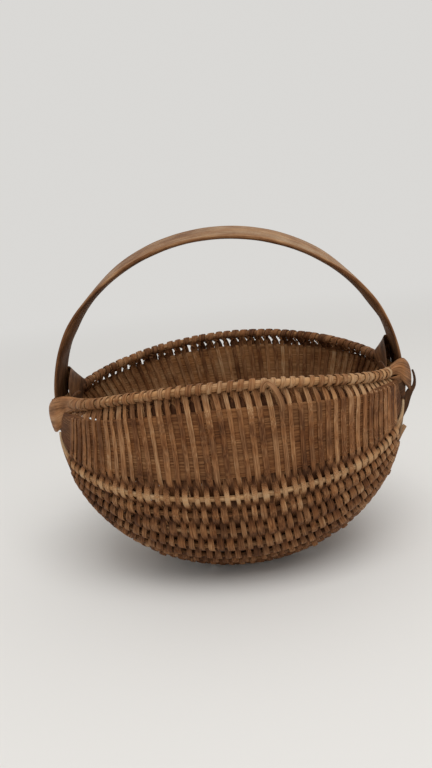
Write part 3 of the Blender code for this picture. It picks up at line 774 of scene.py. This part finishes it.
rib_oak = oak("rib_oak", streak_width=0.0008, roughness=0.65, colours=(
    (0.050, 0.020, 0.007), (0.130, 0.060, 0.024), (0.290, 0.165, 0.080), (0.480, 0.320, 0.180)))
board_oak = oak("wide_rib_oak", streak_width=0.0010, roughness=0.62, colours=(
    (0.045, 0.016, 0.005), (0.115, 0.046, 0.016), (0.225, 0.108, 0.044), (0.360, 0.205, 0.098)))
for side, face, top_share in ((-1, "front", BOARD_TOP_SHARE), (1, "back", BACK_BOARD_TOP_SHARE)):
    board_ends = opened_at(np.array([side * (1.0 - BOARD_TOP_SHARE)]), BOARD_START / FRONT_DEPTH)[0]
    theta = np.linspace(board_ends, math.pi - board_ends, BOARD_STATIONS)[:, None]
    down = np.linspace(0, 1, BOARD_LINES)
    lines = np.linspace(top_share, BOARD_BOTTOM_SHARE, BOARD_LINES)
    near_ears = np.clip((np.abs(np.cos(theta)) - BOARD_RISES_FROM) / BOARD_RISES_OVER, 0, 1) * (side < 0)
    shares = lines - BOARD_END_RISE * near_ears * (1 - down)
    uneven = 5.0 * wobble(lines, 21 + side, 0.11) + 1.2 * wobble(theta, 31 + side, 0.9)
    ridges = 0.5 + 0.5 * np.cos(2 * math.pi * BOARD_RIDGES * down + uneven)
    ridges = ridges * (0.65 + 0.35 * wobble(theta + 3 * lines, 35 + side, 0.35))
    edge = np.sqrt(np.clip(1 - (np.abs(2 * down - 1) * 1.02 - 0.02) ** 24, 0, 1))
    outer = (BOARD_THICKNESS / 2 - OUTER_RIDGE * (1 - ridges)) * edge
    inner = -(BOARD_THICKNESS / 2 - INNER_RIDGE * (1 - ridges)) * edge
    board_across = side * (1 - np.concatenate([shares, shares[:, ::-1]], axis=1))
    board_proud = np.concatenate([outer, inner[:, ::-1]], axis=1)
    rings = on_bowl(board_across, theta + 0 * board_proud, board_proud)
    ridge_marks = np.concatenate([0.62 * ridges - 0.12, 0.35 * ridges], axis=1)
    # The back board is paler all over, as painted light on the inside of the bowl
    board_tone_and_inner_light = 0.42 - 0.17 * np.cos(theta) ** 2 if side < 0 else 0.60
    board_skin = skin(rings, tone=board_tone_and_inner_light, worn=ridge_marks)
    board = piece(f"wide_rib_{face}_board", [board_skin], board_oak)
    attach(board, "root")
    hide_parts(f"wide_rib_{face}")
    for index, share in enumerate(RIB_SHARES):
        across = side * (1 - share)
        at_tip = tips_begin(share)
        tip = opened_at(np.array([across]), at_tip + TIP_START_SHARE * (1 - at_tip))[0]
        eased = 0.5 - 0.5 * np.cos(np.linspace(0, math.pi, RIB_STATIONS))
        theta = tip + (math.pi - 2 * tip) * (eased + np.linspace(0, 1, RIB_STATIONS)) / 2
        turn = np.linspace(0, 2 * math.pi, RIB_SIDES, endpoint=False)
        radius = rib_radius(across, theta)[:, None] * (0.97 + 0.03 * np.cos(2 * turn + 3 * index))
        rod = round_section(radius, turn)
        rings = carried(on_bowl(across, theta, 0.0), bowl_normal(across, theta), rod)
        # The first rod is the one that shows on the front, bare and rubbed between the splints, and it is
        # paler also by a painted highlight
        rod_tone, rod_worn = (0.36, 0.8) if index == 0 else (0.28, 0.0)
        from_tip = np.minimum(theta - tip, math.pi - tip - theta)
        rib_skin = skin(rings, tone=rod_tone + 0.12 * wobble(theta, 40 + index, 3), worn=rod_worn,
                        pale=0.75 * np.clip(1 - from_tip / PALE_TIP, 0, 1))
        rib = piece(f"rib_{face}_{index + 1}_rod", [rib_skin], rib_oak)
        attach(rib, "root")
        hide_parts(f"rib_{face}_{index + 1}")


# The weavers: narrow oak splints, woven over and under the ribs from rim to rim and back again. Each
# goes once round the rim rod between one row and the next, and a new splint is laid along the last
# few ribs of the old one where that runs out.
ROWS = 88
ROWS_A_SPLINT = 8
SPLINT_WIDTH = 0.0040
SPLINT_THICKNESS = 0.0008
SPLINT_CROWN = 0.00025
SPLINT_PLAY = 0.00008
SHIFT = 0.00042 / HALF_SPAN
MOST_SHIFT = 0.0007 / HALF_SPAN
UNEVEN_WIDTH = 0.13
ROW_CROWDING = 0.02
LEFT_LATER = 0.17
LATER_POWER = 2.6
ROW_DRIFT = 0.00066 / HALF_SPAN
ROW_SLANT = 0.10
ROW_WIDENING = 0.27
RIM_LEAN = 0.0022
ROW_SAMPLES = 190
ROW_END = 1 - BOARD_TOP_SHARE
BACK_ROW_END = 1 - BACK_BOARD_TOP_SHARE
WRAP_RADIUS = RIM_RADIUS + SPLINT_THICKNESS / 2 + SPLINT_PLAY
WRAP_SAMPLES = 32
WRAP_SLIP = 0.25
WRAP_ANGLES = (250, 215, 180, 135, 90, 45, 0, -45, -90, -125)
WRAP_LOOSE = 0.0005
WRAP_ASTRAY = 0.0030
WRAP_FRONT_WIDENING = 0.6
WRAP_BACK_WIDENING = 0.48
WRAP_SPREAD_FROM = 0.62
WRAP_SPREAD_OVER = 0.10
# Painted shadow where a front turn goes under the rim, painted shade on the turns behind, and wear with a
# painted highlight on the turns in front
WRAP_SHADOW_SHARE = 0.2
WRAP_SHADOW_DARKER = 0.22
WRAP_OWN_TONE = 0.36
WRAP_BACK_SHADE = 0.03
WRAP_BACK_WEAR_AND_HIGHLIGHT = 0.35
WRAP_FRONT_WEAR_AND_HIGHLIGHT = 1.6
WRAP_LEFT_LESS_WEAR_AND_HIGHLIGHT = 0.5
OWN_TONE = 0.24
OWN_TONE_ON_BOARD = 0.12
PALER_BELOW_BOARD = 0.04
# Painted light on the rows below the board, growing to the right
PAINTED_LIGHT_RIGHTWARDS = 0.08
DARKER_BOARD_ENDS = 0.18
PALER_ON_FIRST_RIB = 0.22
PALER_ON_FIRST_RIB_BY_ROW = 0.30
FIRST_RIB_BELL = 0.042
TONE_WAVER = 0.09
# How much painted light the inner face of the back wall gets
INSIDE_BACK_PAINTED_LIGHT = 4.2
LAP_REACH = 0.11
LAP_PARTING = 1.15 * SPLINT_THICKNESS
BEND_REACH = 2.6
BEND_ROUNDS = 5
STRAY_STATIONS = 36
STRAY_FACING = np.array([0.3, -1.0, 0.3])
# Of each splint with a loose end: how far it is frayed, its width share, and its line in millimetres
STRAYS = {
    7: (0.0, 0.95, (
        (28.2, -107.5, 14.0), (29.2, -108.0, 18.6), (32.1, -108.5, 20.8), (35.2, -111.5, 19.3),
        (38.2, -113.0, 14.4), (40.4, -112.5, 8.5), (41.1, -111.0, 3.8), (41.1, -108.4, -0.3))),
    11: (0.45, 1.6, (
        (124.5, -35.5, -62.0), (127.3, -35.0, -58.0), (130.6, -34.0, -52.9), (134.8, -32.0, -47.3),
        (139.3, -30.0, -42.3))),
}
knot_shares = np.concatenate([[BOARD_TOP_SHARE, BOARD_BOTTOM_SHARE], RIB_SHARES, [KEEL_EDGE_SHARE]])
knots = np.concatenate([knot_shares - 1, (1 - knot_shares)[:0:-1], [BACK_ROW_END]])
half_rooms = [BOARD_THICKNESS / 2] * 2 + [0] * RIBS_A_SIDE + [HOOP_THICKNESS / 2]
knot_rooms = np.array(half_rooms + half_rooms[::-1])
knot_is_rib = (knot_rooms == 0).astype(float)
# Both edges of a wide rib have one number, and so have both edges of the keel
half_numbers = np.array([1, 1, *range(2, RIBS_A_SIDE + 3)])
knot_numbers = np.concatenate([half_numbers, 2 * half_numbers[-1] - half_numbers[::-1]])
picks = np.random.default_rng(11)
row_shift = picks.normal(0, SHIFT, ROWS).clip(-MOST_SHIFT, MOST_SHIFT)
row_width = 1 + UNEVEN_WIDTH * picks.normal(0, 1, ROWS).clip(-1.8, 1.4)
row_tone = picks.uniform(0, 1, ROWS)


def row_theta(row, across):
    """Where a row runs: an even share of the way between the ears, spread a little in the middle.

    The share is u + c sin(2 pi u) / 2 pi. The rows slant by the square of the sine, in step with a
    power of the way down from the rim. Under the front rim they are held back from the left ear.
    """
    first = wall_first(across)
    even = (row + 0.5) / ROWS
    spread = even + ROW_CROWDING * math.sin(2 * math.pi * even) / (2 * math.pi)
    on_board = np.clip(1 - (1 - np.abs(across)) / BOARD_BOTTOM_SHARE, 0, 1) * (across < 0)
    held_back = LEFT_LATER * (1 - spread) ** LATER_POWER * on_board
    theta = first + held_back + (math.pi - 2 * first) * spread
    drift = ROW_DRIFT * wobble(across, 300 + row, 1.3, 4)
    slant = ROW_SLANT * np.sin(theta) ** 2 * (1 - np.abs(across)) ** 0.6
    return theta + slant + row_shift[row] + drift * np.sin(theta)


def rim_theta(row, face):
    """Where a row meets the rim: at the same reach as on the board, less a lean, both fading at the ears."""
    theta = row_theta(row, np.array([-ROW_END if face < 0 else BACK_ROW_END]))[0]
    reach = HALF_SPAN * math.cos(theta) + RIM_LEAN
    return math.acos(math.cos(theta) + (reach / RIM_HALF_SPAN - math.cos(theta)) * math.sin(theta))


def weave_wave(row, across, theta):
    """Sign and height of a row over the ribs: +-1 at each knot, and a smooth step between knots.

    Below the front board the step comes sooner, by a power of its way.
    """
    place = np.interp(across, knots, np.arange(len(knots)))
    low = np.clip(place.astype(int), 0, len(knots) - 2)
    step = place - low
    step = smooth_step(np.where(low == 1, step**0.75, step))

    def stepped(values):
        return values[low] * (1 - step) + values[low + 1] * step

    sign = stepped(np.where((row + knot_numbers) % 2 == 0, 1.0, -1.0))
    room = stepped(knot_rooms) + stepped(knot_is_rib) * rib_radius(across, theta)
    return sign, sign * (room + SPLINT_THICKNESS / 2 + SPLINT_PLAY)


def row_path(row, across, lapped=0.0):
    """Middles, normals, width shares and wear of one row. lapped parts the two layers of a lap."""
    theta = row_theta(row, across)
    sign, proud = weave_wave(row, across, theta)
    normal = bowl_normal(across, theta)
    below_board = np.clip((FIRST_RIB_SHARE + 0.02 - 1 + np.abs(across)) / -0.09, 0, 1)
    width = (1 - 0.06 * (1 - sign**2)) * (1 + ROW_WIDENING * below_board)
    return on_bowl(across, theta, proud + lapped), normal, width, np.clip(sign, 0, 1)


def rim_wrap(face, outside_row, inside_row):
    """A splint once round the rim rod, from the outside of the wide rib to the inside of it.

    It runs through keys: under the rod, up its inner side, over the top, down its outer side and
    back under it, while it slips sideways along the rod past both rows. Its facing looks at the rod.
    """
    end = -ROW_END if face < 0 else BACK_ROW_END
    near_end = end * np.array([0.99, 1.0])
    before, before_normal = row_path(outside_row, near_end)[:2]
    after, after_normal = row_path(inside_row, near_end[::-1])[:2]
    from_theta, to_theta = rim_theta(outside_row, face), rim_theta(inside_row, face)
    loose = picks.uniform(0, WRAP_LOOSE, len(WRAP_ANGLES))
    way = np.linspace(-WRAP_SLIP, 1 + WRAP_SLIP, len(WRAP_ANGLES))
    theta = from_theta + (to_theta - from_theta) * way + picks.normal(0, WRAP_ASTRAY)
    middle, spoke = round_rod(face, theta, np.radians(WRAP_ANGLES))
    turned = middle + spoke * (WRAP_RADIUS + loose)[:, None]
    leaving, coming = (before[-1] + turned[0]) / 2, (after[0] + turned[-1]) / 2
    keys = np.concatenate([before, [leaving], turned, [coming], after])
    facing = np.concatenate([before_normal, [before_normal[-1] - spoke[0]], -spoke,
                             [-spoke[-1] - after_normal[0]], -after_normal])
    return catmull(keys, WRAP_SAMPLES), unit(catmull(facing, WRAP_SAMPLES))


def lap_keep(row, starts):
    """The stretch of a row that a splint takes where it starts or ends, and how its lap is parted.

    A splint that starts lies over the end of the last one, and one that ends lies under the next.
    """
    travel, towards = (1 if row % 2 else -1), (1 if starts else -1)
    samples = full_row[::travel]
    past = towards * travel * (samples - knots[lap_knots[row]])
    samples, past = samples[past > -LAP_REACH], past[past > -LAP_REACH]
    sign = weave_wave(row, samples, row_theta(row, samples))[0]
    return samples, (sign + towards) / 2 * LAP_PARTING * np.clip(2 - past / LAP_REACH, 0, 1)


def row_marks(row, samples, wear, tint):
    """The tone and the painted shade and light of one row.

    The tone is the splint's and the row's own. Over the first rib in front it is paler by a bell.
    Across the front it falls on the wide rib by the square of the cosine, and below it grows rightwards as
    painted light.
    """
    share, front = 1 - np.abs(samples), samples < 0
    on_first_rib = np.exp(-(((share - FIRST_RIB_SHARE) / FIRST_RIB_BELL) ** 2)) * front
    on_board = np.clip((BOARD_BOTTOM_SHARE + 0.03 - share) / 0.06, 0, 1)
    rightwards = -np.cos(row_theta(row, samples))
    tone = tint + (OWN_TONE + OWN_TONE_ON_BOARD * on_board) * row_tone[row]
    tone = tone + PALER_BELOW_BOARD * (1 - on_board)
    paler_on_rib = PALER_ON_FIRST_RIB + PALER_ON_FIRST_RIB_BY_ROW * row_tone[-row]
    tone = tone + paler_on_rib * on_first_rib * wear
    across_front = PAINTED_LIGHT_RIGHTWARDS * (1 - on_board) * rightwards
    across_front = across_front - DARKER_BOARD_ENDS * on_board * rightwards**2
    tone = tone + across_front * front + TONE_WAVER * wobble(samples, 500 + row, 0.6)
    # Painted shade where the row lies under a rib in front; painted light where it lies inside the back wall
    return tone, (1 - wear) * np.where(front, 1.0, -INSIDE_BACK_PAINTED_LIGHT)


def rim_turn(row, travel, tint):
    """The stations of the turn round the rim after a row, widest on the rod and with a painted shadow where
    it goes under the front rim.

    In front it is paler, by wear and a painted highlight, less so at the left, where the turns lie close and
    cover the rod. Behind it is darker, with painted shade.
    """
    path, facing = rim_wrap(-1, row + 1, row) if travel < 0 else rim_wrap(1, row, row + 1)
    way = np.linspace(0, 1, len(path))
    leftwards = math.cos(row_theta(row, np.array([-ROW_END]))[0])
    widened, painted_shadow, darker, wear = WRAP_BACK_WIDENING, 0 * way, WRAP_BACK_SHADE, WRAP_BACK_WEAR_AND_HIGHLIGHT
    if travel < 0:
        path, facing = path[::-1], facing[::-1]
        spread = np.clip((leftwards - WRAP_SPREAD_FROM) / WRAP_SPREAD_OVER, 0, 1)
        widened, darker = WRAP_FRONT_WIDENING * spread, 0.0
        painted_shadow = np.exp(-((way / WRAP_SHADOW_SHARE) ** 2))
        wear = WRAP_FRONT_WEAR_AND_HIGHLIGHT - WRAP_LEFT_LESS_WEAR_AND_HIGHLIGHT * leftwards
    width, tone = (own[row] + (own[row + 1] - own[row]) * way for own in (row_width, row_tone))
    width = width * (1 + widened * (1 - (2 * way - 1) ** 8))
    tone = tint + WRAP_OWN_TONE * tone - WRAP_SHADOW_DARKER * painted_shadow - darker
    return np.column_stack([path, facing, width, 0 * way - SPLINT_CROWN, wear * (1 - painted_shadow), tone, 0 * way])


def splint_line(first_row, last_row, tint):
    """The stations of one splint: place, facing, width, crown, wear, tone and painted shade and light, one
    row each.

    The face that looks out of the bowl on one row looks into it on the next, because the splint has
    gone round the rim between them. Its crown rises away from whatever it lies on.
    """
    line = []
    for row in range(first_row, last_row + 1):
        travel = 1 if row % 2 else -1
        samples, lapped = full_row[::travel], 0.0
        if row == first_row and row > 0:
            samples, lapped = lap_keep(row, True)
        elif row == last_row and row < ROWS - 1:
            samples, lapped = lap_keep(row, False)
        place, normal, width, wear = row_path(row, samples, lapped)
        crown = travel * SPLINT_CROWN * weave_wave(row, samples, row_theta(row, samples))[0]
        tone, painted_shade_and_light = row_marks(row, samples, wear, tint)
        width = width * row_width[row]
        stations = np.column_stack([place, travel * normal, width, crown, wear, tone, painted_shade_and_light])
        line.append(stations[0 if row == first_row else 1:None if row == last_row else -1])
        if row < last_row:
            line.append(rim_turn(row, travel, tint))
    return eased_bends(np.concatenate(line), [len(part) for part in line])


def eased_bends(line, lengths):
    """The same stations with their places eased where a row meets its turn round the rim.

    Again and again a place moves part of the way to the mean of its neighbours: by a bell of its count
    of stations from the nearest bend.
    """
    bends = np.cumsum(lengths)[:-1]
    counts = np.arange(len(line))[:, None]
    nearest = np.min(np.abs(counts - bends[None, :]), axis=1)
    share = 0.8 * np.exp(-((nearest / BEND_REACH) ** 2))[:, None]
    for _ in range(BEND_ROUNDS):
        middle = (np.roll(line[:, :3], 1, axis=0) + np.roll(line[:, :3], -1, axis=0)) / 2
        line[1:-1, :3] += (share * (middle - line[:, :3]))[1:-1]
    return line


def stray_end(number):
    """The loose end of a splint: one is looped over the front rim, and one frayed at the right ear."""
    frayed, widened, rows = STRAYS[number]
    way = np.linspace(0, 1, STRAY_STATIONS)
    section = slab(SPLINT_WIDTH / 2 * widened * (1 - frayed * way**2), SPLINT_THICKNESS / 2)
    rings = carried(through(rows, STRAY_STATIONS) + EAR_CENTRE, STRAY_FACING, section)
    return skin(rings, tone=0.42, worn=0.4, pale=frayed * 0.6 * way**3)


weaver_oak = oak("weaver_oak", streak_width=0.0009, roughness=0.60, colours=(
    (0.042, 0.015, 0.005), (0.125, 0.052, 0.020), (0.250, 0.122, 0.053), (0.430, 0.270, 0.145)))
full_row = np.linspace(-ROW_END, BACK_ROW_END, ROW_SAMPLES)
joins = [*range(0, ROWS, ROWS_A_SPLINT), ROWS - 1]
lap_knots = {row: int(picks.integers(4, 15)) for row in joins}
for number, (first_row, last_row) in enumerate(zip(joins[:-1], joins[1:]), 1):
    line = splint_line(first_row, last_row, 0.14 + 0.08 * picks.uniform())
    width, crown, wear, tone, painted_shade_and_light = line[:, 6:].T
    section = slab(SPLINT_WIDTH / 2 * width, SPLINT_THICKNESS / 2, 4, 1, crown)
    rings = carried(line[:, :3], line[:, 3:6], section)
    skins = [skin(rings, tone=tone, worn=0.5 * wear, shaded=0.12 * painted_shade_and_light)]
    if number in STRAYS:
        skins.append(stray_end(number))
    weaver = piece(f"woven_splint_{number}", skins, weaver_oak)
    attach(weaver, "root")
    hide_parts(f"weaver_{number}")


# The camera stands in front of the basket and a little above its handle. It looks slightly down and to
# the left, and is rolled by six degrees.
CAMERA_FROM_EARS = np.array([0.0273, -0.5903, 0.1274])
CAMERA_PITCH = 0.2128
CAMERA_ROLL = -0.1101
CAMERA_YAW = -0.0624
CAMERA_LENS_MM = 33.72


def set_up(name, data, turn, place):
    """An object turned and placed like this, linked to the scene."""
    obj = bpy.data.objects.new(name, data)
    bpy.context.scene.collection.objects.link(obj)
    obj.matrix_world = Matrix.LocRotScale(place, turn, None)
    return obj


pitched = Euler((math.pi / 2 - CAMERA_PITCH, 0, -CAMERA_YAW)).to_matrix()
rolled = pitched @ Matrix.Rotation(CAMERA_ROLL, 3, "Z")
lens = bpy.data.cameras.new("camera")
lens.sensor_width = 36
lens.lens = CAMERA_LENS_MM
bpy.context.scene.camera = set_up("camera", lens, rolled, EAR_CENTRE + CAMERA_FROM_EARS)

# The floor is a plain pale sheet, painted matt. A few steps away it fades into the backdrop, which is
# plain and pale as well.
BACKDROP = (0.70, 0.69, 0.67, 1)
FLOOR_PAINT = (0.72, 0.71, 0.69, 1)
FLOOR_REACH = 12
FADES_FROM = 0.35
FADED_AT = 2.2
bpy.ops.mesh.primitive_plane_add(size=2 * FLOOR_REACH)
floor = bpy.context.object
floor.name = "floor"
paint = bpy.data.materials.new("floor_paint")
paint.use_nodes = True
tree = paint.node_tree
matt = tree.nodes["Principled BSDF"]
wire(tree, matt, {"Base Color": FLOOR_PAINT, "Roughness": 0.9})
far = add_node(tree, "Emission", {"Color": BACKDROP})
here = add_node(tree, "TexCoord")
reach = add_node(tree, "VectorMath", {0: here.outputs["Object"]}, "LENGTH")
limits = {"Value": reach.outputs["Value"], "From Min": FADES_FROM, "From Max": FADED_AT}
fading = add_node(tree, "MapRange", limits)
fading.interpolation_type = "SMOOTHSTEP"
seen = add_node(tree, "LightPath")
both = add_node(tree, "Math", {0: fading.outputs["Result"], 1: seen.outputs["Is Camera Ray"]}, "MULTIPLY")
blend = add_node(tree, "MixShader", {0: both.outputs[0], 1: matt.outputs[0], 2: far.outputs[0]})
wire(tree, tree.nodes["Material Output"], {"Surface": blend.outputs[0]})
floor.data.materials.append(paint)

# The light: an even pale room, and one large soft lamp high in front and a little to the right. The
# room is seen plain by the camera and in gloss.
ROOM_LEVEL = 0.66
ROOM_COLOUR = (1.0, 0.985, 0.96, 1)
KEY_WATTS = 38
KEY_SIZE = 1.8
KEY_FROM_EARS = np.array([0.35, -1.20, 2.10])
world = bpy.data.worlds.new("room")
bpy.context.scene.world = world
world.use_nodes = True
tree = world.node_tree
tree.nodes.clear()
soft = add_node(tree, "Background", {"Color": ROOM_COLOUR, "Strength": ROOM_LEVEL})
plain = add_node(tree, "Background", {"Color": BACKDROP})
seen = add_node(tree, "LightPath")
rays = {0: seen.outputs["Is Camera Ray"], 1: seen.outputs["Is Glossy Ray"]}
either = add_node(tree, "Math", rays, "MAXIMUM")
blend = add_node(tree, "MixShader", {0: either.outputs[0], 1: soft.outputs[0], 2: plain.outputs[0]})
add_node(tree, "OutputWorld", {"Surface": blend.outputs[0]})
lamp = bpy.data.lights.new("key", "AREA")
lamp.shape = "SQUARE"
lamp.size = KEY_SIZE
lamp.energy = KEY_WATTS
facing_ears = Vector(KEY_FROM_EARS).to_track_quat("Z", "Y")
set_up("key", lamp, facing_ears, EAR_CENTRE + KEY_FROM_EARS)
bpy.context.scene.view_settings.view_transform = "Standard"
